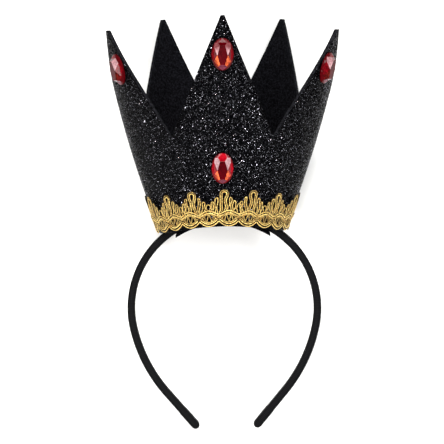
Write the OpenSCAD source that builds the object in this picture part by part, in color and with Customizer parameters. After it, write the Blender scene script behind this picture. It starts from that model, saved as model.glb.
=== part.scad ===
// Mini crown headband: a stiff felt crown with five points on a fabric-wrapped headband,
// a pierced gimp braid round its rim and four faceted oval stones. Millimetres.
// The crown lies on its back, front up, on the strip of felt that its weight presses flat.
// Every piece is drawn upright, as worn, in crown axes: X to the wearer's left, -Y to the
// front, Z up from the top of the band. on_its_back() then lays it down.

/* [Headband] */
// Outer radius of the band over the head
band_r = 62; // [57:0.5:68]
// Angle of the round top, from the crown down each side
top_arc = 102; // [96:1:108]
// Outer radius of the gentler curve below it
arm_r = 99; // [85:1:115]
// Angle of the gentler curve
arm_arc = 28; // [20:1:32]
// Length of the straight end of each arm
end_len = 27; // [10:1:36]
// Thickness of the wrapped band, from the head outwards
band_t = 5; // [4:0.1:6]
// Width of the wrapped band, front to back
band_w = 7; // [6:0.5:10]
// Radius of the band's long edges
band_edge = 1.9; // [1:0.1:1.9]
// Sideways lean of the band under the crown, in degrees
band_lean = 1.1; // [0:0.1:2]

/* [Crown] */
// Outer radius of the crown at its rim
base_r = 40; // [36:0.5:44]
// Height of the front point above the rim
crown_h = 129; // [110:1:150]
// How far the points spread out to the sides
flare_side = 36.8; // [25:0.1:42]
// How far the points spread out to the front and the back
flare_front = 30.3; // [22:0.1:38]
// Outward swell of the wall at half height
swell = 3.4; // [0:0.1:6]
// Height of the notches between the points, as a share of the front point
notch = 0.44; // [0.35:0.01:0.55]
// Thickness of the laminated sheet
wall_t = 2.2; // [1.5:0.1:3]
// Width of the blunt end of each point
tip_w = 2.4; // [0.8:0.1:4]
// How far the front rim hangs below the top of the band
skirt = 5.5; // [4:0.1:7]

/* [Felt] */
// Thickness of the felt floor inside the crown
floor_t = 2; // [1:0.1:3]
// Thickness of the felt patch under the band
patch_t = 1.5; // [1:0.1:2.5]
// Length of the patch along the band
patch_len = 60; // [40:1:64]
// Width of the patch
patch_w = 16; // [12:1:24]

/* [Braid] */
// Fans round the braid
fans = 15; // [13:2:17]
// Height of the braid at the tip of a fan
braid_h = 23.1; // [20:0.1:26]
// Eyes of the plaited band below the fans, all round
eyes = 22; // [20:1:24]
// Height of the plaited band
plait_h = 9.8; // [8:0.1:11]
// Height of the braid's lower edge above the rim
braid_rise = 0.6; // [0.3:0.1:2]
// Width of the plaited cord
plait_w = 2.1; // [1.6:0.1:2.4]
// Width of the cord that loops into the fans
loop_w = 1.5; // [1.1:0.1:1.8]
// Thickness of one cord
cord_t = 1.1; // [0.8:0.1:1.4]
// How far a plaited cord rises over the feet of the loops
cross_lift = 0.6; // [0.3:0.1:0.9]

/* [Stones] */
// Width of a stone
gem_w = 13.4; // [10:0.1:16]
// Length of a stone
gem_l = 19.6; // [14:0.1:22]
// Thickness of a stone
gem_t = 4.8; // [3:0.1:6]
// Height of the upper front stone above the rim
gem_high = 106; // [90:0.5:108]
// Height of the lower front stone above the rim
gem_low = 37; // [34:0.5:60]
// Height of the side stones above the rim
gem_side = 102.5; // [90:0.5:106]
// Angle of the side stones round the crown, from the front
gem_turn = 65; // [60:1:75]

/* [Resting] */
// Slope of the back on which the crown lies, in degrees
lie_tilt = 11.5; // [10:0.1:13]
// How far the back is pressed flat at the rim
press = 2.1; // [1.2:0.1:3]

/* [Fits] */
// Clearance between pieces that are glued together
glue_gap = 0.3; // [0.2:0.05:0.5]

/* [Hidden] */
$fn = 96;

// Corners of the zigzag cut, front to back. Columns: angle round the crown, height as a
// share of crown_h, hollow of the cut from here to the next corner as a share of crown_h
CUT = [[0, 1, 0.021], [33.5, notch, -0.034], [70, 0.981, 0], [110, notch - 0.01, 0.025],
       [148.7, 1.003, 0.036], [180, notch, 0]];
// Steps along the band's round top and each gentler curve
top_steps = 18;
arm_steps = 4;
// The rounded tip of each arm
tip_round = 3.5;
tip_turns = [28, 52, 72];
// Columns of the wall between two corners, and rows up it
cut_steps = 7;
rows = 7;
// Behind this angle the wall runs straight up, with no swell
straight_back = 135;
// Height over which the back steps out from under the braid
back_step = 15;
// The wall leans out, so a level cut through it is longer than the sheet is thick
wall_x = wall_t / cos(atan(flare_front / crown_h));
// The mark on the flat of the back lies this far below the notch
mark_drop = 5;
rest_mark = notch * crown_h - mark_drop;

braid_t = cord_t + cross_lift;
// Turn that sets the phase of the plait, steps along one eye, and how pointed its eyes are
plait_phase = 5.2;
plait_steps = 8;
eye_point = 0.8;
// Millimetres along the braid for one degree round the crown
arc_mm = (base_r + glue_gap + braid_t) * PI / 180;
plait_mid = braid_rise + plait_h / 2;
plait_meet = 0.36 * plait_w;
plait_amp = (plait_h - plait_w) / 2 - plait_meet;
// Share of the cord's thickness by which neighbouring loops are staggered
stagger = 0.1;
// Width of a loop's foot as a share of its head, and the corners round its head
foot_share = 0.7;
HEAD_TURNS = [180, 115, 65, 0];
// Loops of one fan. Columns: foot and head as shares of the fan's half pitch, height as a
// share of braid_h, width in cords, layer
LOOPS = [[0, 0, 1, 3.1, 2],
         [0.3, 0.54, 0.79, 3.1, 1], [-0.3, -0.54, 0.79, 3.1, 1],
         [1, 1, 0.6, 3.4, 0]];

// Table and girdle corners of a stone as shares of its half width and half length
TABLE = [[0.24, 0.6], [0.48, 0], [0.24, -0.6], [-0.24, -0.6], [-0.48, 0], [-0.24, 0.6]];
CROWN_TURNS = [60, 30, -30, -60, -120, -150, -210, -240];
crown_share = 0.86;
crown_lift = 0.46;
girdle_sides = 24;
girdle_lift = 0.22;

function unit(v) = v / norm(v);
function quad(a, b, c, d) = [[a, b, c], [a, c, d]];

// Top surface of the leaning band at a distance to the side
function band_top(x) = sqrt(pow(band_r, 2) - pow(x - band_r * sin(band_lean), 2))
    - band_r * cos(band_lean);
// The rim dips at the sides to sit on the band, and follows the band's lean
seat_x = base_r - wall_x;
side_drop = -skirt - glue_gap - (band_top(seat_x) + band_top(-seat_x)) / 2;
lean_rise = (band_top(seat_x) - band_top(-seat_x)) / 2;
function rim_z(a) = lean_rise * sin(a) - skirt - side_drop * pow(sin(a), 2);
// The points lean less than the rim does
tip_upright = 0.55;
function wall_z(a, v) = rim_z(a) + v * (crown_h - tip_upright * lean_rise * sin(a));

// The plane under the back, and the line of the pressed wall above it
function rest_y(z) = base_r + glue_gap + braid_t - press + (z + skirt) * tan(lie_tilt);
function tuck(z) = max(0, min(1, (braid_h + back_step - z - skirt) / back_step));
function back_y(z) = rest_y(z) - (glue_gap + braid_t) * tuck(z);

function swell_at(a, v) =
    cos(a) > cos(straight_back) ? 4 * v * (1 - v) * swell * pow(cos(2 * a), 2) : 0;
// A point on the wall: angle round it, share of its height, distance outside its face
function wall_pt(a, v, out) =
    let (z = wall_z(a, v),
         rx = base_r + flare_side * v + swell_at(a, v) + out,
         ry = base_r + flare_front * v + swell_at(a, v) + out)
    [rx * sin(a), min(-ry * cos(a), back_y(z) + out), z];

// A straight cut in the flat pattern, from a tip (s = 0) to a notch (s = 1): share of the
// height between them
tip_r = base_r + (flare_side + flare_front) / 2;
notch_r = base_r + (tip_r - base_r) * notch;
function cut_rise(s) = (1 - s) * notch_r / (notch_r + s * (tip_r - notch_r));
function cut_height(tip, low, s) = CUT[low][1] + (CUT[tip][1] - CUT[low][1]) * cut_rise(s)
    - 4 * CUT[min(tip, low)][2] * s * (1 - s);
// Half of the blunt tip as a share of half a point
tip_s = tip_w / 2 / (tip_r * PI / (len(CUT) - 1));
down = concat([0, tip_s], [for (i = [1:cut_steps - 1]) i / cut_steps]);
up = [for (i = [0:cut_steps - 1]) 1 - i / cut_steps];
// Angle and height of the wall's top edge at a share of the angle between two corners
function column(tip, low, u) =
    [CUT[tip][0] + (CUT[low][0] - CUT[tip][0]) * u,
     cut_height(tip, low, max(0, (u - tip_s) / (1 - tip_s)))];
half = [for (k = [0:len(CUT) - 2])
            for (u = k % 2 == 0 ? down : concat(up, [tip_s]))
                k % 2 == 0 ? column(k, k + 1, u) : column(k + 1, k, u)];
columns = concat([[180, notch]],
                 [for (i = [len(half) - 1:-1:1]) [-half[i][0], half[i][1]]],
                 half);

module crown_wall() {
    n = len(columns);
    m = rows + 1;
    function at(side, c, r) = (side * n + c % n) * m + r;
    points = [for (out = [0, -wall_x]) for (c = columns) for (r = [0:rows])
                  wall_pt(c[0], c[1] * r / rows, out)];
    sides = [for (c = [0:n - 1]) for (r = [0:rows - 1]) each concat(
        quad(at(0, c, r), at(0, c, r + 1), at(0, c + 1, r + 1), at(0, c + 1, r)),
        quad(at(1, c, r), at(1, c + 1, r), at(1, c + 1, r + 1), at(1, c, r + 1)))];
    edges = [for (c = [0:n - 1]) each concat(
        quad(at(0, c, 0), at(0, c + 1, 0), at(1, c + 1, 0), at(1, c, 0)),
        quad(at(0, c, rows), at(1, c, rows), at(1, c + 1, rows), at(0, c + 1, rows)))];
    color("#17171a") on_its_back() polyhedron(points, concat(sides, edges));
}

// A cord laid on the wall along path, a list of [angle, height, lift], with a ridge outside.
// The path of a closed cord runs one step over at both ends
module cord(path, width, closed = false) {
    over = closed ? 1 : 0;
    n = len(path) - 2 * over;
    function ring(k) =
        let (i = k + over, p = path[i],
             d = path[min(len(path) - 1, i + 1)] - path[max(0, i - 1)],
             t = unit([d[0] * arc_mm, d[1]]),
             da = -t[1] * width / 2 / arc_mm, dw = t[0] * width / 2, o = glue_gap + p[2])
        [for (c = [[1, o], [0, o + cord_t], [-1, o]])
            wall_pt(p[0] + c[0] * da, (p[1] + c[0] * dw) / crown_h, c[1])];
    points = [for (i = [0:n - 1]) each ring(i)];
    sides = [for (i = [0:n - 2 + over]) let (k = (i + 1) % n) for (j = [0:2]) each quad(
        i * 3 + j, k * 3 + j, k * 3 + (j + 1) % 3, i * 3 + (j + 1) % 3)];
    caps = closed ? [] : [[0, 1, 2], [n * 3 - 1, n * 3 - 2, n * 3 - 3]];
    polyhedron(points, concat(sides, caps));
}

// The wave of a plaited cord, from 0 where the two cords meet to 1 in the middle of an eye,
// and the height of the upper cord (side = 1) or the lower cord (side = -1)
function wave(a) = pow((1 + cos((a - plait_phase) * eyes)) / 2, eye_point);
function plait_at(a, side) = plait_mid + side * (plait_meet + plait_amp * wave(a));

// One loop of a fan: up from its foot, round its head and down again
module fan_loop(a, foot, head, top, width, layer) {
    r = (width - loop_w) / 2;
    lift = layer * stagger * cord_t;
    head_w = top - width / 2;
    left = a + (foot - r * foot_share) / arc_mm;
    right = a + (foot + r * foot_share) / arc_mm;
    path = concat(
        [[left, plait_at(left, 1), lift]],
        [for (t = HEAD_TURNS) [a + (head + r * cos(t)) / arc_mm, head_w + r * sin(t), lift]],
        [[right, plait_at(right, 1), lift]]);
    cord(path, loop_w);
}

// The upper or the lower cord of the plait, which meet between the eyes. The steps of one
// lie between those of the other, so that no edges meet
module plait_cord(side) {
    n = eyes * plait_steps;
    path = [for (i = [-1:n])
                let (a = plait_phase - 180 + (i + 0.2 * side) * 360 / n)
                [a, plait_at(a, side), cross_lift * wave(a)]];
    cord(path, plait_w, closed = true);
}

module braid() {
    pitch = 360 / fans;
    half_mm = pitch * arc_mm / 2;
    color("#c9a24b") on_its_back() union() {
        for (side = [-1, 1]) plait_cord(side);
        for (i = [0:fans - 1]) for (l = LOOPS)
            fan_loop(i * pitch - 180 + pitch / 2, l[0] * half_mm, l[1] * half_mm,
                     l[2] * braid_h, l[3] * loop_w, l[4]);
    }
}

// Stations of the band from the top of the head to the tip of one arm: place of the outer
// face, direction it faces, size of the section
top_end = 90 - top_arc;
arm_end = top_end - arm_arc;
arm_hub = (band_r - arm_r) * [cos(top_end), sin(top_end)];
tip_place = arm_hub + arm_r * [cos(arm_end), sin(arm_end)];
function along_end(d) = tip_place + d * [sin(arm_end), -cos(arm_end)];
right_arm = concat(
    [for (i = [0:top_steps]) let (t = 90 - top_arc * i / top_steps)
        [band_r * [cos(t), sin(t)], t, 1]],
    [for (i = [1:arm_steps]) let (t = top_end - arm_arc * i / arm_steps)
        [arm_hub + arm_r * [cos(t), sin(t)], t, 1]],
    [for (i = [1:2]) [along_end(end_len * i / 2), arm_end, 1]],
    [for (b = tip_turns) [along_end(end_len + tip_round * sin(b)), arm_end, cos(b)]]);
left_arm = [for (i = [len(right_arm) - 1:-1:1]) let (s = right_arm[i])
               [[-s[0][0], s[0][1]], 180 - s[1], s[2]]];

module band() {
    stations = concat(left_arm, right_arm);
    corners = [for (q = [0:3]) for (b = [0, 45, 90])
        [(q == 0 || q == 3 ? 1 : -1) * (band_t / 2 - band_edge) + band_edge * cos(q * 90 + b),
         (q < 2 ? 1 : -1) * (band_w / 2 - band_edge) + band_edge * sin(q * 90 + b)]];
    n = len(stations);
    m = len(corners);
    points = [for (s = stations) for (c = corners)
                  let (r = c[0] * s[2] - band_t / 2)
                  [s[0][0] + r * cos(s[1]), c[1] * s[2], s[0][1] + r * sin(s[1])]];
    sides = [for (i = [0:n - 2]) for (j = [0:m - 1]) each quad(
        i * m + j, i * m + (j + 1) % m, (i + 1) * m + (j + 1) % m, (i + 1) * m + j)];
    color("#1a1a1c") on_its_back() on_lean() polyhedron(points, concat(
        sides, [[for (j = [m - 1:-1:0]) j]], [[for (j = [0:m - 1]) (n - 1) * m + j]]));
}

// A curved sheet over or under the band
module bent_sheet(r_low, t) {
    rotate([90, 0, 0]) difference() {
        cylinder(r = r_low + t, h = 2 * base_r, center = true);
        cylinder(r = r_low, h = 3 * base_r, center = true);
    }
}

// The floor is round, with a flat that clears the pressed back
module crown_floor() {
    clear = 2 * glue_gap + braid_t + wall_x;
    flat = [for (z = [-base_r, base_r]) [rest_y(z) - clear, z]];
    color("#141416") on_its_back() intersection() {
        on_lean() bent_sheet(band_r + glue_gap, floor_t);
        translate([0, 0, -band_r]) cylinder(r = seat_x - glue_gap, h = 2 * band_r);
        rotate([90, 0, 90]) linear_extrude(2 * base_r, center = true)
            polygon(concat(flat, [[-base_r, base_r], [-base_r, -base_r]]));
    }
}

module under_patch() {
    color("#1c1c1e") on_its_back() on_lean() intersection() {
        bent_sheet(band_r - band_t - glue_gap - patch_t, patch_t);
        translate([-patch_len / 2, -patch_w / 2, 0]) cube([patch_len, patch_w, band_r]);
    }
}

// A stone with a flat back, six main facets, two side facets and a table
module stone(a, height) {
    v = height / crown_h;
    seat = wall_pt(a, v, 0);
    across = unit(wall_pt(a - 1, v, 0) - wall_pt(a + 1, v, 0));
    along = unit(wall_pt(a, v + 0.01, 0) - wall_pt(a, v - 0.01, 0));
    out = unit(cross(along, across));
    function place(x, y, z) = seat + x * gem_w / 2 * across + y * gem_l / 2 * along
        + (glue_gap + z * gem_t) * out;
    g = girdle_sides;
    c = len(CROWN_TURNS);
    turns = [for (i = [0:g - 1]) CROWN_TURNS[0] - i * 360 / g];
    points = concat(
        [for (z = [0, girdle_lift]) for (t = turns) place(cos(t), sin(t), z)],
        [for (t = CROWN_TURNS) place(crown_share * cos(t), crown_share * sin(t), crown_lift)],
        [for (p = TABLE) place(p[0], p[1], 1)]);
    k = 2 * g;
    q = k + c;
    bevel = [for (i = [0:c - 1]) let (from = (CROWN_TURNS[0] - CROWN_TURNS[i]) * g / 360,
                to = i == c - 1 ? g : (CROWN_TURNS[0] - CROWN_TURNS[i + 1]) * g / 360,
                mid = floor((from + to) / 2))
            each concat(
                [for (j = [from:mid - 1]) [k + i, g + (j + 1) % g, g + j]],
                [[k + i, k + (i + 1) % c, g + mid % g]],
                [for (j = [mid:to - 1]) [k + (i + 1) % c, g + (j + 1) % g, g + j]])];
    mains = concat(
        quad(q + 0, q + 1, k + 1, k + 0), [[q + 1, k + 2, k + 1]],
        quad(q + 2, k + 3, k + 2, q + 1), quad(q + 2, q + 3, k + 4, k + 3),
        quad(q + 3, q + 4, k + 5, k + 4), [[q + 4, k + 6, k + 5]],
        quad(q + 5, k + 7, k + 6, q + 4), quad(q + 5, q + 0, k + 0, k + 7));
    belt = [for (i = [0:g - 1]) each quad(i, g + i, g + (i + 1) % g, (i + 1) % g)];
    on_its_back() polyhedron(points, concat(
        [[for (i = [0:g - 1]) i]], belt, bevel, mains,
        [[for (i = [5:-1:0]) q + i]]));
}

module gem_front_high() { color("#b00d1e") stone(0, gem_high); }
module gem_front_low() { color("#b00d1e") stone(0, gem_low); }
module gem_left() { color("#b00d1e") stone(-gem_turn, gem_side); }
module gem_right() { color("#b00d1e") stone(gem_turn, gem_side); }

// Turns a piece with the band, about the top of the band, and gives it the band's centre
module on_lean() {
    rotate([0, -band_lean, 0]) translate([0, 0, -band_r]) children();
}

// Lays the upright crown down on the flat of its back, with the flat mark at the origin
module on_its_back() {
    mark_z = rest_mark - skirt;
    rotate([lie_tilt - 90, 0, 0]) translate([0, -rest_y(mark_z), -mark_z]) children();
}

band();
crown_wall();
crown_floor();
under_patch();
braid();
gem_front_high();
gem_front_low();
gem_left();
gem_right();
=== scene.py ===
"""Mini crown headband: the looks of a small stiff glitter-felt crown, its pierced gimp braid,
its four faceted stones and the ribbon-wrapped band under it, lying on a pale floor."""

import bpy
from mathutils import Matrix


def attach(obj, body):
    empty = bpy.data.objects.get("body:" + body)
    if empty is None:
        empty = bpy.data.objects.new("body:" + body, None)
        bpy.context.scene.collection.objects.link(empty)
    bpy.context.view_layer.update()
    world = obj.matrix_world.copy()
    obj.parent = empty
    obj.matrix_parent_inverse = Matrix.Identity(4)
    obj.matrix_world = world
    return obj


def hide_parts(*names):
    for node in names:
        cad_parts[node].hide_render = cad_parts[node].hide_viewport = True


bl_info = {
    "name": "Mini Crown Headband",
    "version": (1, 0, 0),
    "blender": (4, 5, 0),
    "location": "3D View > Sidebar > Headband",
    "description": "Makes a felt crown with gimp braid and faceted stones on a wrapped headband",
    "category": "Object",
}

import math
import random

import bmesh
import bpy
import numpy as np
from mathutils import Matrix, Vector
from mathutils.bvhtree import BVHTree

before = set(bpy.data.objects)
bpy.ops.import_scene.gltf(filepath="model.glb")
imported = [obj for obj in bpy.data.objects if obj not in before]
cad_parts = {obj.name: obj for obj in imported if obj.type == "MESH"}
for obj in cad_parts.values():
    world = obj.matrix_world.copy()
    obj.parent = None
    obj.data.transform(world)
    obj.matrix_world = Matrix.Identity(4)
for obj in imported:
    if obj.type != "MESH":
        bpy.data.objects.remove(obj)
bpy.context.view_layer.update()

MM = 0.001
CM2_PER_M2 = 1e4
# The crown lies on the flat of its back, which slopes by this many degrees when it stands
BACK_SLOPE = 11.5
# The lying part's origin in crown axes: Z up from the top of the band, -Y to the crown's front
REST_SPOT = Vector((0, 50.431, 46.26)) * MM
# Turns a lying point to crown axes
UPRIGHT = Matrix.Translation(REST_SPOT) @ Matrix.Rotation(math.radians(90 - BACK_SLOPE), 4, "X")
LYING = UPRIGHT.inverted()

# Clearance between glued pieces
GLUE_GAP = 0.3 * MM
# Width and thickness of a strand that is pressed flat, as shares of a round one's
STRAND_OVAL = (1.08, 0.86)
# Radius of the crown at the braid, which turns a length along the braid into an angle
BRAID_RADIUS = 42 * MM

# Loops of one fan in millimetres: foot and head to the side, height, half width, lift, then
# how far the head slopes and how many strands lie side by side
LOOPS = ((0, 0, 23.8, 1.6, 0.4, 0, 2),
         (3.75, 4.1, 19.9, 0.6, 0.2, -0.6, 1), (-3.75, -4.1, 19.9, 0.6, 0.2, 0.6, 1),
         (6.05, 6.5, 17.4, 0.6, 0.1, -0.6, 1), (-6.05, -6.5, 17.4, 0.6, 0.1, 0.6, 1),
         (9.2, 9.2, 15.3, 1.05, 0, 0, 1))

# How strongly each stone's facets are painted with light: red of its upper end, pale painted
# reflection on its upper facets, painted highlight beside the table, red of its sides and rim,
# and painted orange glow below them
FACET_LIGHT = {"gem_front_high": (0.22, 0.16, 1.6, 0.35, 1.1),
               "gem_front_low": (0.95, 0.9, 0.8, 0.7, 1.1),
               "gem_left": (0.4, 0.6, 1.1, 0.35, 0.04),
               "gem_right": (0.4, 0.6, 1.1, 0.35, 0.04)}

# Soft lamps: name, place in metres, share of the key's power and colour. All face LAMP_AIM.
LAMPS = (("key", (-0.12, 0.3, 1.2), 1, (1, 0.99, 0.97)),
         ("fill", (0.55, 0.05, 1.15), 0.75, (0.98, 0.99, 1)),
         ("low_fill", (-0.3, -0.6, 1.1), 1.1, (1, 0.98, 0.96)))
LAMP_AIM = Vector((0, -0.05, 0.05))
LAMP_SIDE = 0.4

# The camera looks down on the lying crown from 1.2 m, leaning by this many degrees
CAMERA_SPOT = Vector((-0.33, -179.2, 1208.3)) * MM
CAMERA_LEAN = 5.7219
CAMERA_LENS = 149.65
CAMERA_SENSOR = 36


def linear(code):
    """An sRGB hex colour as linear red, green, blue and alpha."""
    parts = [int(code[i:i + 2], 16) / 255 for i in (1, 3, 5)]
    return tuple(c / 12.92 if c <= 0.04045 else ((c + 0.055) / 1.055) ** 2.4 for c in parts) + (1.0,)


def toned(base, share, lift=0.0):
    """A share of a linear colour, with a little grey added."""
    return tuple(min(1, c * share + lift) for c in base[:3]) + (1.0,)


def size(name, description, default, **limits):
    """A length that a user can change, given in millimetres."""
    return bpy.props.FloatProperty(name=name, description=description, default=default * MM,
                                   min=0, subtype="DISTANCE", unit="LENGTH", precision=5, **limits)


def degrees(name, description, default):
    """An angle that a user can change, given in degrees."""
    return bpy.props.FloatProperty(name=name, description=description, default=math.radians(default),
                                   subtype="ANGLE", unit="ROTATION")


def colour(name, description, code):
    """A colour that a user can change."""
    return bpy.props.FloatVectorProperty(name=name, description=description, default=linear(code),
                                         size=4, min=0, max=1, subtype="COLOR")


class BandSettings(bpy.types.PropertyGroup):
    round_radius: size("Round radius", "Outer radius of the band over the head", 62)
    round_arc: degrees("Round arc", "Angle of the round top down each side", 102)
    arm_radius: size("Arm radius", "Outer radius of the gentler curve of the arms", 99)
    arm_arc: degrees("Arm arc", "Angle of the gentler curve", 28)
    end_length: size("End length", "Length of the straight end of each arm", 27)
    lean: degrees("Lean", "Sideways lean of the band under the crown", 1.1)
    thickness: size("Thickness", "Thickness of the wrapped band", 5)
    width: size("Width", "Width of the wrapped band, front to back", 7)
    fold_length: size("Fold length", "Length of the ribbon folded over each tip", 16)
    fold_rise: size("Fold rise", "How far the folded ribbon stands proud", 0.35)
    rib_pitch: size("Rib pitch", "Distance between the ribs of the ribbon", 1.05)
    rib_depth: size("Rib depth", "Depth of the ribs of the ribbon", 0.09)
    ribbon: colour("Ribbon", "Colour of the ribbon", "#09090b")


class CrownSettings(bpy.types.PropertyGroup):
    flakes_per_cm2: bpy.props.FloatProperty(
        name="Flakes", description="Loose glitter flakes to a square centimetre", default=155, min=0)
    flake_radius: size("Flake radius", "Radius of a glitter flake", 0.19)
    stone_clear: size("Stone clear", "Width of the ring of glue round a stone that hides the flakes", 0.9)
    bare_rim: size("Bare rim", "Height of the strip under the braid that has lost its loose flakes", 11)
    flake_tilt: degrees("Flake tilt", "Most that a flake tilts out of the sheet", 38)
    glitter: colour("Glitter", "Colour of the glitter sheet between its sparks", "#020203")
    flake: colour("Flake", "Colour of the palest flakes", "#dcdce8")
    flake_lift: size("Flake lift", "Height of the middle of a flake above the sheet", 0.1)
    felt_edge: size("Felt edge", "Width of the soft edges of the felt floor and patch", 0.35)
    felt: colour("Felt", "Colour of the felt", "#09090c")
    cut_edge: colour("Cut edge", "Colour of the cut edge of the sheet", "#141417")


class BraidSettings(bpy.types.PropertyGroup):
    fans: bpy.props.IntProperty(name="Fans", description="Fans round the braid", default=15, min=3)
    eyes: bpy.props.IntProperty(name="Eyes", description="Eyes of the plait", default=22, min=4)
    arch_point: bpy.props.FloatProperty(
        name="Arch point", description="How pointed the upper halves of the eyes are", default=0.75, min=0.3)
    bowl_point: bpy.props.FloatProperty(
        name="Bowl point", description="How pointed the lower halves of the eyes are", default=0.4, min=0.3)
    eye_shift: size("Eye shift", "Height of the ends of the eyes above the middle of the plait", 0.6)
    eye_turn: degrees("Eye turn", "Turn that sets where the eyes stand", 5.2)
    height: size("Height", "Height of the braid at the tip of a fan", 23.8)
    plait_height: size("Plait height", "Height of the plaited band", 10.8)
    rise: size("Rise", "Height of the braid's lower edge above the rim", 0.6)
    plait_strand: size("Plait strand", "Radius of one strand of the plaited cord", 0.5)
    plait_spread: size("Plait spread", "Distance of a plait strand from the middle of its cord", 0.72)
    loop_strand: size("Loop strand", "Radius of one strand of the cord that loops into fans", 0.52)
    loop_spread: size("Loop spread", "Distance of a strand from the middle of a doubled loop", 0.56)
    cross_lift: size("Cross lift", "How far a plaited cord rises over the feet of the loops", 0.6)
    thread_radius: size("Thread radius", "Radius of the thread that fills the eyes", 0.48)
    gold: colour("Gold", "Middle colour of the metallic yarn", "#bf7b1b")
    # Light gold paints the highlight on the yarn's crests, dark gold the shade on its flanks and grooves
    gold_painted_highlight: colour("Light gold", "Colour where the yarn faces the light", "#fbdd82")
    gold_painted_shade: colour("Dark gold", "Colour in the grooves of the yarn", "#120a00")


class StoneSettings(bpy.types.PropertyGroup):
    # Painted light: the table darkens towards its upper end, pink is the lamps' reflection, orange a glow
    table: colour("Table", "Colour of the flat top", "#4c0007")
    red: colour("Red", "Colour of the facet at the upper end", "#a4081a")
    pink: colour("Pink", "Colour of the facets that catch the light", "#b49094")
    orange: colour("Orange", "Colour of the facets at the lower sides", "#e8683a")
    mauve: colour("Mauve", "Colour of the facet at the lower end", "#743444")
    edge: size("Edge", "Width of the worn edge between two facets", 0.16)


class StageSettings(bpy.types.PropertyGroup):
    floor: colour("Floor", "Colour of the floor", "#fafaf9")
    floor_size: bpy.props.FloatProperty(name="Floor size", description="Side of the floor", default=4,
                                        subtype="DISTANCE", unit="LENGTH")
    key_power: bpy.props.FloatProperty(name="Key power", description="Power of the key light", default=11.0,
                                       subtype="POWER", unit="POWER")


class HeadbandSettings(bpy.types.PropertyGroup):
    band: bpy.props.PointerProperty(type=BandSettings)
    crown: bpy.props.PointerProperty(type=CrownSettings)
    braid: bpy.props.PointerProperty(type=BraidSettings)
    stone: bpy.props.PointerProperty(type=StoneSettings)
    stage: bpy.props.PointerProperty(type=StageSettings)


def settings():
    """The sizes and colours that a user can change."""
    return bpy.context.scene.crown_headband


def feed(made, inputs):
    """Sets a node's inputs, by name or number. An input takes a value, another node's output,
    or another node for its first output."""
    for key, value in inputs.items():
        if isinstance(value, bpy.types.Node):
            value = value.outputs[0]
        if isinstance(value, bpy.types.NodeSocket):
            made.id_data.links.new(value, made.inputs[key])
        else:
            made.inputs[key].default_value = value


def add(tree, kind, inputs=None, **options):
    """Adds a node with its options and inputs."""
    made = tree.nodes.new(kind)
    for name, value in options.items():
        setattr(made, name, value)
    feed(made, inputs or {})
    return made


def new_material(name):
    """A material with one principled shader: the material, its tree and the shader."""
    made = bpy.data.materials.new(name)
    made.use_nodes = True
    tree = made.node_tree
    tree.nodes.clear()
    shader = add(tree, "ShaderNodeBsdfPrincipled")
    add(tree, "ShaderNodeOutputMaterial", {"Surface": shader.outputs["BSDF"]})
    return made, tree, shader


def shown(name, mesh, *finishes):
    """Puts a finished mesh in the scene as a piece."""
    mesh.name = name
    for finish in finishes:
        mesh.materials.append(finish)
    piece = bpy.data.objects.new(name, mesh)
    bpy.context.scene.collection.objects.link(piece)
    return piece


def merged(node_name):
    """A CAD node's loose triangles joined into one surface, as a bmesh."""
    form = bmesh.new()
    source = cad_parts[node_name].data
    corners = [form.verts.new(v.co) for v in source.vertices]
    for polygon in source.polygons:
        form.faces.new([corners[i] for i in polygon.vertices])
    bmesh.ops.remove_doubles(form, verts=form.verts, dist=0.002 * MM)
    bmesh.ops.recalc_face_normals(form, faces=form.faces)
    return form


def to_mesh(form, name):
    """Ends a bmesh and gives its mesh."""
    mesh = bpy.data.meshes.new(name)
    form.to_mesh(mesh)
    form.free()
    return mesh


def socket_id(tree, name):
    """The identifier of a tree's input."""
    return next(s.identifier for s in tree.interface.items_tree
                if s.item_type == "SOCKET" and s.in_out == "INPUT" and s.name == name)


def evaluated(piece, name):
    """The mesh of a piece with its modifiers applied, and the piece removed."""
    bpy.context.view_layer.update()
    graph = bpy.context.evaluated_depsgraph_get()
    mesh = bpy.data.meshes.new_from_object(piece.evaluated_get(graph), depsgraph=graph)
    mesh.name = name
    piece.modifiers.clear()
    bpy.data.objects.remove(piece)
    return mesh


def bevelled(name, form, finish, width, segments, turn):
    """Ends a bmesh and gives its mesh, with every edge bevelled that turns by more than some
    degrees."""
    ground = shown(name + "_ground", to_mesh(form, name + "_ground"), finish)
    bevel = ground.modifiers.new("bevel", "BEVEL")
    bevel.width = width
    bevel.segments = segments
    bevel.limit_method = "ANGLE"
    bevel.angle_limit = math.radians(turn)
    return evaluated(ground, name)


def grow(name, ground, tree, values):
    """Runs a node tree on a mesh and keeps the result as a plain piece at the origin."""
    source = shown(name + "_ground", ground)
    way = source.modifiers.new("grow", "NODES")
    way.node_group = tree
    for key, value in values.items():
        way[socket_id(tree, key)] = value
    return shown(name, evaluated(source, name))


def new_tree(name, inputs):
    """A geometry tree with its inputs, and the nodes that stand for them and for its result."""
    tree = bpy.data.node_groups.new(name, "GeometryNodeTree")
    tree.interface.new_socket("Ground", in_out="INPUT", socket_type="NodeSocketGeometry")
    for label, kind in inputs:
        tree.interface.new_socket(label, in_out="INPUT", socket_type="NodeSocket" + kind)
    tree.interface.new_socket("Made", in_out="OUTPUT", socket_type="NodeSocketGeometry")
    return tree, tree.nodes.new("NodeGroupInput").outputs, tree.nodes.new("NodeGroupOutput")


def guide_nodes(tree, given):
    """Even points along the guide lines, the way out there, and how far along they are."""
    curve = add(tree, "GeometryNodeMeshToCurve", {"Mesh": given["Ground"]})
    even = add(tree, "GeometryNodeResampleCurve", {"Curve": curve, "Length": given["Step"]}, mode="LENGTH")
    out = add(tree, "GeometryNodeInputNamedAttribute", {"Name": "out"}, data_type="FLOAT_VECTOR")
    return even, out, add(tree, "GeometryNodeSplineParameter")


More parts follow.
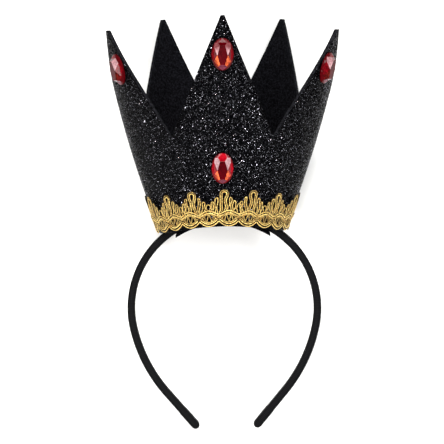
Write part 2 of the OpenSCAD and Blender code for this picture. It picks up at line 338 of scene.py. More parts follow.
def ribs(tree, along, pitch):
    """How high a ribbon's ribs stand at a length along it, from 0 to 1."""
    turns = add(tree, "ShaderNodeMath", {0: along, 1: pitch}, operation="DIVIDE")
    phase = add(tree, "ShaderNodeMath", {0: turns, 1: math.pi}, operation="MULTIPLY")
    wave = add(tree, "ShaderNodeMath", {0: phase}, operation="SINE")
    return add(tree, "ShaderNodeMath", {0: wave}, operation="ABSOLUTE")


def end_tree(tree, grown, given, made):
    """Ends a geometry tree: what has grown becomes real mesh and takes the given finish."""
    real = add(tree, "GeometryNodeRealizeInstances", {"Geometry": grown})
    clad = add(tree, "GeometryNodeSetMaterial", {"Geometry": real, "Material": given["Finish"]})
    feed(made, {0: clad})
    return tree


def cord_tree(name, sides):
    """Lays twisted strands along guide lines: one for each number in sides, at that share of
    the spread to the side of the guide. The guide's attribute wide says how far they part."""
    tree, given, made = new_tree(name, [("Radius", "Float"), ("Spread", "Float"), ("Step", "Float"),
                                        ("Twist", "Float"), ("Corners", "Int"), ("Finish", "Material")])
    even, out, along = guide_nodes(tree, given)
    tangent = add(tree, "GeometryNodeInputTangent")
    across = add(tree, "ShaderNodeVectorMath", {0: tangent, 1: out}, operation="CROSS_PRODUCT")
    turns = add(tree, "ShaderNodeMath", {0: along.outputs["Length"], 1: given["Twist"]}, operation="DIVIDE")
    angle = add(tree, "ShaderNodeMath", {0: turns, 1: math.tau}, operation="MULTIPLY")
    ring = add(tree, "GeometryNodeCurvePrimitiveCircle",
               {"Resolution": given["Corners"], "Radius": given["Radius"]}, mode="RADIUS")
    oval = add(tree, "GeometryNodeTransform", {"Geometry": ring, "Scale": STRAND_OVAL + (1,)})
    around = add(tree, "GeometryNodeStoreNamedAttribute",
                 {"Geometry": oval, "Name": "around", "Value": along.outputs["Factor"]})
    joined = add(tree, "GeometryNodeJoinGeometry")
    wide = add(tree, "GeometryNodeInputNamedAttribute", {"Name": "wide"})
    parting = add(tree, "ShaderNodeMath", {0: given["Spread"], 1: wide}, operation="MULTIPLY")
    for side in sides:
        reach = add(tree, "ShaderNodeMath", {0: parting, 1: side}, operation="MULTIPLY")
        offset = add(tree, "ShaderNodeVectorMath", {0: across, "Scale": reach}, operation="SCALE")
        moved = add(tree, "GeometryNodeSetPosition", {"Geometry": even, "Offset": offset})
        marked = add(tree, "GeometryNodeStoreNamedAttribute",
                     {"Geometry": moved, "Name": "along", "Value": along.outputs["Length"]})
        tilted = add(tree, "GeometryNodeSetCurveTilt", {"Curve": marked, "Tilt": angle})
        strand = add(tree, "GeometryNodeCurveToMesh",
                     {"Curve": tilted, "Profile Curve": around, "Fill Caps": True})
        feed(joined, {0: strand})
    # How far the surface faces out from the wall: the yarn's colour paints its highlight and shade by it
    normal = add(tree, "GeometryNodeInputNormal")
    faced = add(tree, "ShaderNodeVectorMath", {0: normal, 1: out}, operation="DOT_PRODUCT")
    crested = add(tree, "GeometryNodeStoreNamedAttribute",
                  {"Geometry": joined, "Name": "crest", "Value": faced.outputs["Value"]})
    smooth = add(tree, "GeometryNodeSetShadeSmooth", {"Geometry": crested})
    return end_tree(tree, smooth, given, made)


def flake_tree():
    """Scatters six-sided flakes over a surface, each tilted its own way."""
    tree, given, made = new_tree("loose_flakes", [
        ("Density", "Float"), ("Radius", "Float"), ("Tilt", "Float"), ("Lift", "Float"),
        ("Seed", "Int"), ("Finish", "Material")])
    points = add(tree, "GeometryNodeDistributePointsOnFaces",
                 {"Mesh": given["Ground"], "Density": given["Density"], "Seed": given["Seed"]})
    lift = add(tree, "ShaderNodeVectorMath", {0: points.outputs["Normal"], "Scale": given["Lift"]},
               operation="SCALE")
    raised = add(tree, "GeometryNodeSetPosition", {"Geometry": points.outputs["Points"], "Offset": lift})
    low = add(tree, "ShaderNodeMath", {0: given["Tilt"], 1: -1}, operation="MULTIPLY")
    least = add(tree, "ShaderNodeCombineXYZ", {0: low, 1: low, 2: 0.0})
    most = add(tree, "ShaderNodeCombineXYZ", {0: given["Tilt"], 1: given["Tilt"], 2: math.tau})
    lean = add(tree, "FunctionNodeRandomValue", {0: least, 1: most, "Seed": given["Seed"]},
               data_type="FLOAT_VECTOR")
    turned = add(tree, "FunctionNodeRotateRotation",
                 {"Rotation": points.outputs["Rotation"], "Rotate By": lean}, rotation_space="LOCAL")
    span = add(tree, "FunctionNodeRandomValue", {2: 0.55, 3: 1.15, "Seed": given["Seed"]})
    flake = add(tree, "GeometryNodeMeshCircle", {"Vertices": 6, "Radius": given["Radius"]}, fill_type="NGON")
    placed = add(tree, "GeometryNodeInstanceOnPoints",
                 {"Points": raised, "Instance": flake, "Rotation": turned, "Scale": span.outputs[1]})
    shade = add(tree, "FunctionNodeRandomValue", {2: 0.0, 3: 1.0, "Seed": 7})
    marked = add(tree, "GeometryNodeStoreNamedAttribute",
                 {"Geometry": placed, "Name": "shade", "Value": shade.outputs[1]}, domain="INSTANCE")
    return end_tree(tree, marked, given, made)


def ribbon_tree():
    """Sweeps a flat rounded section along the band, with a rib at every pitch and a thicker
    fold over each tip."""
    tree, given, made = new_tree("wrapped_ribbon", [
        ("Thickness", "Float"), ("Width", "Float"), ("Step", "Float"), ("Rib Pitch", "Float"),
        ("Rib Depth", "Float"), ("Finish", "Material")])
    even, out, along = guide_nodes(tree, given)
    faced = add(tree, "GeometryNodeSetCurveNormal", {"Curve": even, "Normal": out}, mode="FREE")
    marked = add(tree, "GeometryNodeStoreNamedAttribute",
                 {"Geometry": faced, "Name": "along", "Value": along.outputs["Length"]})
    bulge = ribs(tree, along.outputs["Length"], given["Rib Pitch"])
    swell = add(tree, "GeometryNodeInputNamedAttribute", {"Name": "swell"})
    depth = add(tree, "ShaderNodeMath", {0: given["Rib Depth"], 1: given["Thickness"]}, operation="DIVIDE")
    girth = add(tree, "ShaderNodeMath", {0: bulge, 1: depth, 2: swell}, operation="MULTIPLY_ADD")
    sized = add(tree, "GeometryNodeSetCurveRadius", {"Curve": marked, "Radius": girth})
    section = add(tree, "GeometryNodeCurvePrimitiveQuadrilateral",
                  {"Width": given["Thickness"], "Height": given["Width"]}, mode="RECTANGLE")
    corner = add(tree, "ShaderNodeMath", {0: given["Thickness"], 1: 0.4}, operation="MULTIPLY")
    rounded = add(tree, "GeometryNodeFilletCurve", {"Curve": section, "Radius": corner, "Count": 4},
                  mode="POLY")
    fine = add(tree, "GeometryNodeResampleCurve", {"Curve": rounded, "Count": 26}, mode="COUNT")
    around = add(tree, "GeometryNodeStoreNamedAttribute",
                 {"Geometry": fine, "Name": "around", "Value": along.outputs["Factor"]})
    radius = add(tree, "GeometryNodeInputRadius")
    swept = add(tree, "GeometryNodeCurveToMesh",
                {"Curve": sized, "Profile Curve": around, "Scale": radius, "Fill Caps": True})
    smooth = add(tree, "GeometryNodeSetShadeSmooth", {"Geometry": swept})
    return end_tree(tree, smooth, given, made)


def grosgrain():
    """Grosgrain ribbon: polyester woven over a thick weft, so fine ribs run across it. It is
    dull black, and its colour paints a soft highlight on the crest of each rib, over faint patches of wear."""
    made, tree, shader = new_material("grosgrain_ribbon")
    look = settings().band
    along = add(tree, "ShaderNodeAttribute", attribute_name="along").outputs["Fac"]
    # The warp threads lie 0.35 mm apart round the section. They are drawn as short dashes.
    spot = add(tree, "ShaderNodeTexCoord").outputs["Object"]
    fibre = add(tree, "ShaderNodeTexNoise", {"Vector": spot, "Scale": 1 / (0.35 * MM), "Detail": 3.0})
    crest = ribs(tree, along, look.rib_pitch)
    wear = add(tree, "ShaderNodeTexNoise", {"Vector": spot, "Scale": 1 / (9 * MM)})
    # Painted highlight: the crests of the ribs are coloured paler than their troughs, with faint wear added
    tone = add(tree, "ShaderNodeMath", {0: crest, 1: fibre}, operation="MULTIPLY")
    painted_light_mix = add(tree, "ShaderNodeMath", {0: wear, 1: 0.15, 2: tone}, operation="MULTIPLY_ADD")
    shade = add(tree, "ShaderNodeMix",
                {"Factor": painted_light_mix, "A": toned(look.ribbon, 0.05), "B": toned(look.ribbon, 2.6, 0.005)},
                data_type="RGBA")
    gloss = add(tree, "ShaderNodeMapRange", {"Value": fibre, "To Min": 0.42, "To Max": 0.68})
    bump = add(tree, "ShaderNodeBump", {"Height": tone, "Distance": 0.12 * MM, "Strength": 0.7})
    feed(shader, {"Base Color": shade.outputs["Result"], "Roughness": gloss, "Normal": bump,
                  "Specular IOR Level": 0.03, "Sheen Weight": 0.006, "Sheen Roughness": 0.4})
    return made


def felt(name, base):
    """Craft felt: polyester fibres needled into a mat. It is dull and soft, with a faint
    cloud of fibre ends over it."""
    made, tree, shader = new_material(name)
    spot = add(tree, "ShaderNodeTexCoord").outputs["Object"]
    # Felt fibres are 0.02 mm thick. They are drawn as 1.1 mm tufts, which a picture can show.
    tufts = add(tree, "ShaderNodeTexNoise",
                {"Vector": spot, "Scale": 1 / (1.1 * MM), "Detail": 5.0, "Roughness": 0.7,
                 "Distortion": 0.6})
    cloud = add(tree, "ShaderNodeTexNoise", {"Vector": spot, "Scale": 1 / (6 * MM), "Detail": 2.0})
    tone = add(tree, "ShaderNodeMapRange", {"Value": tufts, "From Min": 0.44, "From Max": 0.62})
    mixed = add(tree, "ShaderNodeMath", {0: cloud, 1: 0.15, 2: tone}, operation="MULTIPLY_ADD")
    shade = add(tree, "ShaderNodeMix",
                {"Factor": mixed, "A": toned(base, 0.2), "B": toned(base, 2.6, 0.0015)}, data_type="RGBA")
    bump = add(tree, "ShaderNodeBump", {"Height": tufts, "Distance": 0.25 * MM, "Strength": 0.6})
    feed(shader, {"Base Color": shade.outputs["Result"], "Normal": bump, "Roughness": 0.95,
                  "Specular IOR Level": 0.015, "Sheen Weight": 0.006, "Sheen Roughness": 0.5})
    return made


def glitter_sheet():
    """Glitter felt: flakes of metallised film glued on felt. It is nearly black, and each flake
    that mirrors a lamp shows as a bright spark."""
    made, tree, shader = new_material("glitter_felt")
    look = settings().crown
    spot = add(tree, "ShaderNodeTexCoord").outputs["Object"]
    # The flakes measure 0.4 mm. They are drawn at 0.6 mm, the least that shows as one spark.
    cells = add(tree, "ShaderNodeTexVoronoi", {"Vector": spot, "Scale": 1 / (0.6 * MM), "Randomness": 1.0},
                feature="F1")
    around = add(tree, "ShaderNodeVectorMath", {0: cells.outputs["Color"], 1: (0.5, 0.5, 0.5)},
                 operation="SUBTRACT")
    tilt = add(tree, "ShaderNodeVectorMath", {0: around, "Scale": 1.5}, operation="SCALE")
    surface = add(tree, "ShaderNodeNewGeometry")
    leaned = add(tree, "ShaderNodeVectorMath", {0: surface.outputs["Normal"], 1: tilt}, operation="ADD")
    facing = add(tree, "ShaderNodeVectorMath", {0: leaned}, operation="NORMALIZE")
    parts = add(tree, "ShaderNodeSeparateColor", {"Color": cells.outputs["Color"]})
    rare = add(tree, "ShaderNodeMath", {0: parts, 1: 5.0}, operation="POWER")
    shade = add(tree, "ShaderNodeMix",
                {"Factor": rare, "A": tuple(look.glitter), "B": toned(look.glitter, 5, 0.01)},
                data_type="RGBA")
    film = add(tree, "ShaderNodeMapRange", {"Value": parts.outputs[1], "From Min": 0.8, "From Max": 0.85})
    gloss = add(tree, "ShaderNodeMapRange", {"Value": parts.outputs[2], "To Min": 0.16, "To Max": 0.5})
    feed(shader, {"Base Color": shade.outputs["Result"], "Metallic": film, "Roughness": gloss,
                  "Normal": facing, "Specular IOR Level": 0.012, "Specular Tint": linear("#2c2c30")})
    return made


def flake_film():
    """Metallised polyester film, cut in six-sided flakes: a small hard mirror, a little
    darker or paler from one flake to the next."""
    made, tree, shader = new_material("metallised_film")
    look = settings().crown
    shade = add(tree, "ShaderNodeAttribute", attribute_name="shade").outputs["Fac"]
    spot = add(tree, "ShaderNodeTexCoord").outputs["Object"]
    scuff = add(tree, "ShaderNodeTexNoise", {"Vector": spot, "Scale": 1 / (0.1 * MM)})
    bright = add(tree, "ShaderNodeMath", {0: shade, 1: 4.5}, operation="POWER")
    tone = add(tree, "ShaderNodeMix",
               {"Factor": bright, "A": toned(look.flake, 0.004), "B": tuple(look.flake)}, data_type="RGBA")
    gloss = add(tree, "ShaderNodeMapRange", {"Value": scuff, "To Min": 0.16, "To Max": 0.4})
    feed(shader, {"Base Color": tone.outputs["Result"], "Roughness": gloss, "Metallic": 1.0,
                  "Specular Tint": linear("#303036")})
    return made


def gold_yarn():
    """Metallic gimp: a cotton core wound with flat gilt film. Its colour paints a highlight on the
    crest of each strand, and dark brown shade on its flanks and in the grooves between its windings."""
    made, tree, shader = new_material("gilt_yarn")
    look = settings().braid
    along = add(tree, "ShaderNodeAttribute", attribute_name="along").outputs["Fac"]
    around = add(tree, "ShaderNodeAttribute", attribute_name="around").outputs["Fac"]
    # The film is 0.25 mm wide. It is drawn as windings 1.3 mm apart, which a picture can show.
    climb = add(tree, "ShaderNodeMath", {0: along, 1: 1.3 * MM}, operation="DIVIDE")
    place = add(tree, "ShaderNodeMath", {0: climb, 1: around}, operation="ADD")
    angle = add(tree, "ShaderNodeMath", {0: place, 1: math.tau}, operation="MULTIPLY")
    wave = add(tree, "ShaderNodeMath", {0: angle}, operation="SINE")
    lift = add(tree, "ShaderNodeMath", {0: wave, 1: 0.5, 2: 0.5}, operation="MULTIPLY_ADD")
    spot = add(tree, "ShaderNodeTexCoord").outputs["Object"]
    fleck = add(tree, "ShaderNodeTexNoise", {"Vector": spot, "Scale": 1 / (1.1 * MM), "Detail": 2.0})
    patch = add(tree, "ShaderNodeTexNoise", {"Vector": spot, "Scale": 1 / (2.4 * MM), "Detail": 1.0})
    # Painted shade: the yarn is coloured darker in the grooves between its windings
    groove = add(tree, "ShaderNodeMapRange",
                 {"Value": lift, "From Min": 0.0, "From Max": 0.6, "To Min": 0.35, "To Max": 1.0})
    # Painted shade: the flanks of the strands, low between them, are coloured darker than their crests
    crest = add(tree, "ShaderNodeAttribute", attribute_name="crest").outputs["Fac"]
    flank = add(tree, "ShaderNodeMapRange", {"Value": crest, "From Min": 0.48, "From Max": 0.82})
    painted_light_mix = add(tree, "ShaderNodeMath", {0: groove, 1: flank}, operation="MULTIPLY")
    uneven = add(tree, "ShaderNodeMapRange",
                 {"Value": patch, "From Min": 0.36, "From Max": 0.56, "To Min": 0.4, "To Max": 1.0})
    kept = add(tree, "ShaderNodeMath", {0: painted_light_mix, 1: uneven}, operation="MULTIPLY", use_clamp=True)
    deep = add(tree, "ShaderNodeMix", {"Factor": kept, "A": tuple(look.gold_painted_shade), "B": tuple(look.gold)},
               data_type="RGBA")
    # Painted highlight: the crests of the strands are coloured pale gold, flecked along the strand
    top = add(tree, "ShaderNodeMapRange", {"Value": crest, "From Min": 0.58, "From Max": 0.82})
    lit = add(tree, "ShaderNodeMapRange",
              {"Value": fleck, "From Min": 0.4, "From Max": 0.54, "To Min": 0.3, "To Max": 1.0})
    gleam = add(tree, "ShaderNodeMath", {0: top, 1: lit}, operation="MULTIPLY")
    shade = add(tree, "ShaderNodeMix",
                {"Factor": gleam, "A": deep.outputs["Result"], "B": tuple(look.gold_painted_highlight)},
                data_type="RGBA")
    bump = add(tree, "ShaderNodeBump", {"Height": lift, "Distance": 0.12 * MM, "Strength": 0.8})
    gloss = add(tree, "ShaderNodeMapRange", {"Value": fleck, "To Min": 0.3, "To Max": 0.5})
    feed(shader, {"Base Color": shade.outputs["Result"], "Roughness": gloss, "Normal": bump,
                  "Metallic": 0.4})
    return made


def foiled_acrylic():
    """Moulded acrylic with a foil back: the facets hold their own reds, with painted reflections,
    a painted orange glow and painted streaks of the light that the foil throws back, and its polished
    skin mirrors the lamps."""
    made, tree, shader = new_material("foiled_acrylic")
    facet = add(tree, "ShaderNodeAttribute", attribute_name="facet")
    cut = add(tree, "ShaderNodeAttribute", attribute_name="cut")
    # Painted light: the light that the foil throws back is painted as streaks about 1 mm wide.
    streaks = add(tree, "ShaderNodeTexNoise",
                  {"Vector": cut.outputs["Vector"], "Scale": 4.0, "Detail": 2.0, "Distortion": 1.4})
    drop = add(tree, "ShaderNodeMapRange",
               {"Value": streaks, "From Min": 0.4, "From Max": 0.6, "To Min": -0.85, "To Max": 0.3})
    depth = add(tree, "ShaderNodeMath", {0: drop, 1: facet.outputs["Alpha"], 2: 1.0},
                operation="MULTIPLY_ADD")
    shade = add(tree, "ShaderNodeVectorMath", {0: facet.outputs["Color"], "Scale": depth}, operation="SCALE")
    gloss = add(tree, "ShaderNodeMapRange", {"Value": streaks, "To Min": 0.06, "To Max": 0.14})
    feed(shader, {"Base Color": shade, "Roughness": gloss, "IOR": 1.49, "Specular IOR Level": 0.07,
                  "Coat Weight": 0.05, "Coat Roughness": 0.04})
    return made


def matt_board():
    """Matt painted board: even and pale, with the faint tooth of a rolled coat."""
    made, tree, shader = new_material("matt_board")
    base = settings().stage.floor
    spot = add(tree, "ShaderNodeTexCoord").outputs["Object"]
    # A foam roller leaves a tooth about 2 mm apart.
    tooth = add(tree, "ShaderNodeTexNoise", {"Vector": spot, "Scale": 1 / (2 * MM), "Detail": 2.0})
    shade = add(tree, "ShaderNodeMix", {"Factor": tooth, "A": toned(base, 0.985), "B": tuple(base)},
                data_type="RGBA")
    bump = add(tree, "ShaderNodeBump", {"Height": tooth, "Distance": 0.02 * MM, "Strength": 0.3})
    feed(shader, {"Base Color": shade.outputs["Result"], "Normal": bump, "Roughness": 0.85})
    return made


class WallLayout:
    """Finds places on the outside of the crown wall by angle and height above its rim."""

    def __init__(self):
        form = merged("crown_wall")
        form.transform(UPRIGHT)
        form.normal_update()
        self.tree = BVHTree.FromBMesh(form)
        rim = {}
        # The rim's faces look down. At each whole degree, the outermost corner counts.
        for face in form.faces:
            if face.normal.z < -0.8:
                for corner in face.verts:
                    x, y, z = corner.co
                    turn = round(math.degrees(math.atan2(x, -y)))
                    reach = math.hypot(x, y)
                    if turn not in rim or reach > rim[turn][0]:
                        rim[turn] = (reach, z)
        form.free()
        self.turns, self.heights = zip(*sorted((turn, z) for turn, (_, z) in rim.items()))

    def place(self, turn, height, lift):
        """The lying point at an angle in degrees and a height above the rim, and the way out."""
        turn = (turn + 180) % 360 - 180
        z = float(np.interp(turn, self.turns, self.heights, period=360)) + height
        way = Vector((math.sin(math.radians(turn)), -math.cos(math.radians(turn)), 0))
        # A ray along the seam of two faces can slip between them, so others go close by
        for nudge in (0, 0.02, -0.02, 0.05, -0.05):
            start = way * 0.3 + Vector((0, 0, z + nudge * MM)) + way.cross(Vector((0, 0, nudge * MM)))
            spot, normal = self.tree.ray_cast(start, -way)[:2]
            if spot is not None:
                return LYING @ (spot + normal * lift), LYING.to_3x3() @ normal
        raise RuntimeError("no wall at %.1f degrees, %.1f mm" % (turn, height / MM))


def guide_mesh(name, lines, wide=None):
    """Guide lines as a mesh of edges with the way out at each point. A line is a list of
    (point, out) and whether it is closed. wide gives how far the strands part at each point."""
    corners, edges, ways = [], [], []
    for line, closed in lines:
        start = len(corners)
        corners += [point for point, out in line]
        ways += [out for point, out in line]
        edges += [(start + i, start + i + 1) for i in range(len(line) - 1)]
        if closed:
            edges.append((len(corners) - 1, start))
    mesh = bpy.data.meshes.new(name)
    mesh.from_pydata(corners, edges, [])
    mesh.attributes.new("out", "FLOAT_VECTOR", "POINT").data.foreach_set(
        "vector", [c for way in ways for c in way])
    mesh.attributes.new("wide", "FLOAT", "POINT").data.foreach_set("value", wide or [1.0] * len(corners))
    return mesh


class HEADBAND_OT_stage(bpy.types.Operator):
    """Makes the pale floor, the soft lights and the camera"""
    bl_idname = "headband.stage"
    bl_label = "Stage"

    def execute(self, context):
        look = settings().stage
        half = look.floor_size / 2
        mesh = bpy.data.meshes.new("floor")
        mesh.from_pydata([(-half, -half, 0), (half, -half, 0), (half, half, 0), (-half, half, 0)], [],
                         [(0, 1, 2, 3)])
        floor = shown("floor", mesh, matt_board())

        for name, place, share, warmth in LAMPS:
            light = bpy.data.lights.new(name, "AREA")
            light.shape = "SQUARE"
            light.size = LAMP_SIDE
            light.energy = look.key_power * share
            light.color = warmth
            lamp = bpy.data.objects.new(name, light)
            lamp.location = place
            lamp.rotation_euler = (LAMP_AIM - Vector(place)).to_track_quat("-Z", "Y").to_euler()
            context.scene.collection.objects.link(lamp)

        world = bpy.data.worlds.new("studio")
        world.use_nodes = True
        # The studio's ceiling is a little dimmer than its walls
        way = add(world.node_tree, "ShaderNodeTexCoord")
        axes = add(world.node_tree, "ShaderNodeSeparateXYZ", {0: way.outputs["Generated"]})
        glow = add(world.node_tree, "ShaderNodeMapRange",
                   {"Value": axes.outputs["Z"], "From Min": 0.15, "From Max": 0.8, "To Min": 0.5,
                    "To Max": 0.44})
        feed(world.node_tree.nodes["Background"], {"Color": linear("#ffffff"), "Strength": glow})
        context.scene.world = world
        context.scene.view_settings.view_transform = "Standard"

        view = bpy.data.cameras.new("camera")
        view.sensor_width = CAMERA_SENSOR
        view.lens = CAMERA_LENS
        view.clip_end = 20
        camera = bpy.data.objects.new("camera", view)
        camera.matrix_world = (Matrix.Translation(CAMERA_SPOT)
                               @ Matrix.Rotation(math.radians(CAMERA_LEAN), 4, "X"))
        context.scene.collection.objects.link(camera)
        context.scene.camera = camera
        return {"FINISHED"}


class HEADBAND_OT_crown(bpy.types.Operator):
    """Makes the stiff felt crown: glitter outside, plain felt inside, a cut edge between"""
    bl_idname = "headband.crown"
    bl_label = "Crown"

    def execute(self, context):
        look = settings().crown
        form = merged("crown_wall")
        bmesh.ops.join_triangles(form, faces=form.faces, angle_face_threshold=math.radians(30),
                                 angle_shape_threshold=math.radians(80))
        for face in form.faces:
            middle = UPRIGHT @ face.calc_center_median()
            outward = UPRIGHT.to_3x3() @ face.normal
            side = outward.dot(Vector((middle.x, middle.y, 0)).normalized())
            # Glitter looks outwards, felt inwards, and the cut edge up, down or along the wall
            if abs(side) < 0.6:
                face.material_index = 2
            else:
                face.material_index = 0 if side > 0 else 1
            face.smooth = True
        # The edges of the cut sheet stay sharp. No bend of the wall turns by this much.
        sharp = math.radians(38)
        crease = form.edges.layers.float.new("crease_edge")
        for edge in form.edges:
            if edge.calc_face_angle(0) > sharp:
                edge[crease] = 1.0
        ground = shown("crown_ground", to_mesh(form, "crown_ground"), glitter_sheet(),
                       felt("black_felt", look.felt), felt("cut_felt", look.cut_edge))
        smoother = ground.modifiers.new("smooth", "SUBSURF")
        smoother.levels = 2
        smoother.render_levels = 2
        shell = shown("crown_shell", evaluated(ground, "crown_shell"))
        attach(shell, "root")
        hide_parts("crown_wall")
        return {"FINISHED"}


class HEADBAND_OT_flakes(bpy.types.Operator):
    """Scatters loose flakes over the outside of the crown"""
    bl_idname = "headband.flakes"
    bl_label = "Glitter flakes"

    def execute(self, context):
        look = settings().crown
        form = bmesh.new()
        form.from_mesh(bpy.data.objects["crown_shell"].data)
        rim = min((UPRIGHT @ v.co).z for v in form.verts)
        # Glue and the braid keep the strip along the rim bare, and no flake may reach into the
        # floor that the crown lies on
        above_floor = 0.7 * MM
        bmesh.ops.delete(form, context="FACES", geom=[
            f for f in form.faces
            if f.material_index != 0 or f.calc_center_median().z < above_floor
            or (UPRIGHT @ f.calc_center_median()).z < rim + look.bare_rim])
        ground = to_mesh(form, "glitter_ground")
        flakes = grow("glitter_flakes", ground, flake_tree(), {
            "Density": look.flakes_per_cm2 * CM2_PER_M2, "Radius": look.flake_radius,
            "Tilt": look.flake_tilt, "Lift": look.flake_lift, "Seed": 5, "Finish": flake_film()})
        stones = []
        for node_name in FACET_LIGHT:
            form = merged(node_name)
            stones.append(BVHTree.FromBMesh(form))
            form.free()
        form = bmesh.new()
        form.from_mesh(flakes.data)
        hidden = [f for f in form.faces if any(
            stone.find_nearest(f.calc_center_median(), look.stone_clear)[0] for stone in stones)]
        bmesh.ops.delete(form, context="FACES", geom=hidden)
        form.to_mesh(flakes.data)
        form.free()
        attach(flakes, "root")
        return {"FINISHED"}


class HEADBAND_OT_linings(bpy.types.Operator):
    """Makes the felt floor inside the crown and the felt patch under the band"""
    bl_idname = "headband.linings"
    bl_label = "Felt floor and patch"

    def execute(self, context):
        look = settings().crown
        finish = felt("lining_felt", look.felt)
        for name, node_name in (("floor_felt", "crown_floor"), ("patch_felt", "under_patch")):
            form = merged(node_name)
            if node_name == "crown_floor":
                self.meet_wall(form)
            bmesh.ops.dissolve_limit(form, angle_limit=math.radians(1), verts=form.verts, edges=form.edges)
            piece = shown(name, bevelled(name, form, finish, look.felt_edge, segments=2, turn=40))
            piece.data.shade_smooth()
            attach(piece, "root")
            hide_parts(node_name)
        return {"FINISHED"}

    def meet_wall(self, form):
        """Widens the felt floor until its soft rim brushes the flared wall round it, so no
        light shows between them."""
        # The gap that is left, and the widest that is closed
        gap = 0.08 * MM
        widest_gap = 4 * MM
        wall = merged("crown_wall")
        inside = BVHTree.FromBMesh(wall)
        wall.free()
        turned = UPRIGHT.to_3x3()
        # The faces round the floor's edge look sideways
        rim = {v for f in form.faces if abs((turned @ f.normal).z) < 0.6 for v in f.verts}
        for vertex in rim:
            spot = UPRIGHT @ vertex.co
            way = turned.inverted() @ Vector((spot.x, spot.y, 0)).normalized()
            hit, _, _, distance = inside.ray_cast(vertex.co, way, widest_gap)
            if hit:
                vertex.co += way * (distance - gap)


class HEADBAND_OT_band(bpy.types.Operator):
    """Makes the band, wrapped in ribbed ribbon that is folded over its tips"""
    bl_idname = "headband.band"
    bl_label = "Band"

    def execute(self, context):
        look = settings().band
        # Steps along one half of the round top, one arm and its straight end
        top_steps, arm_steps, end_steps = 103, 39, 60
        # Length of the rounded tip, how much of it is cut off, its least girth as a share of the
        # band's, and the length of the slope up to the folded ribbon
        tip = 3.4 * MM
        cut_off = 0.02 * MM
        blunt = 0.12
        ramp = 1.2 * MM
        # The middle of the band's thickness runs in two arcs. The second one's hub is set off
        # from the first one's.
        round_radius = look.round_radius - look.thickness / 2
        arm_radius = look.arm_radius - look.thickness / 2
        hub = look.round_radius - look.arm_radius
        half = []
        for i in range(top_steps + 1):
            turn = look.round_arc * i / top_steps
            half.append((round_radius * math.sin(turn), round_radius * math.cos(turn), turn))
        for i in range(1, arm_steps + 1):
            turn = look.round_arc + look.arm_arc * i / arm_steps
            half.append((hub * math.sin(look.round_arc) + arm_radius * math.sin(turn),
                         hub * math.cos(look.round_arc) + arm_radius * math.cos(turn), turn))
        x, z, end = half[-1]
        for i in range(1, end_steps + 1):
            reach = (look.end_length + tip) * i / end_steps
            half.append((x + reach * math.cos(end), z - reach * math.sin(end), end))
        stations = [(-x, z, -turn) for x, z, turn in half[:0:-1]] + half
        lean = Matrix.Rotation(-look.lean, 4, "Y") @ Matrix.Translation((0, 0, -look.round_radius))
        place = LYING @ lean
        line = [(place @ Vector((x, 0, z)), place.to_3x3() @ Vector((math.sin(turn), 0, math.cos(turn))))
                for x, z, turn in stations]
        mesh = guide_mesh("band_guide", [(line, False)])
        along = [0]
        for (a, _), (b, _) in zip(line, line[1:]):
            along.append(along[-1] + (b - a).length)
        swells = []
        for length in along:
            to_tip = min(length, along[-1] - length)
            folded = max(0, min(1, (look.fold_length - to_tip) / ramp))
            fold = look.fold_rise / look.thickness * folded
            rounded = math.sqrt(max(0.0, 1 - (1 - min(1, (to_tip + cut_off) / tip)) ** 2))
            swells.append((1 + fold) * max(blunt, rounded))
        mesh.attributes.new("swell", "FLOAT", "POINT").data.foreach_set("value", swells)
        band = grow("wrapped_band", mesh, ribbon_tree(), {
            "Thickness": look.thickness - look.rib_depth, "Width": look.width - look.rib_depth,
            "Step": look.rib_pitch / 5, "Rib Pitch": look.rib_pitch, "Rib Depth": look.rib_depth,
            "Finish": grosgrain()})
        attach(band, "root")
        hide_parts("band")
        return {"FINISHED"}


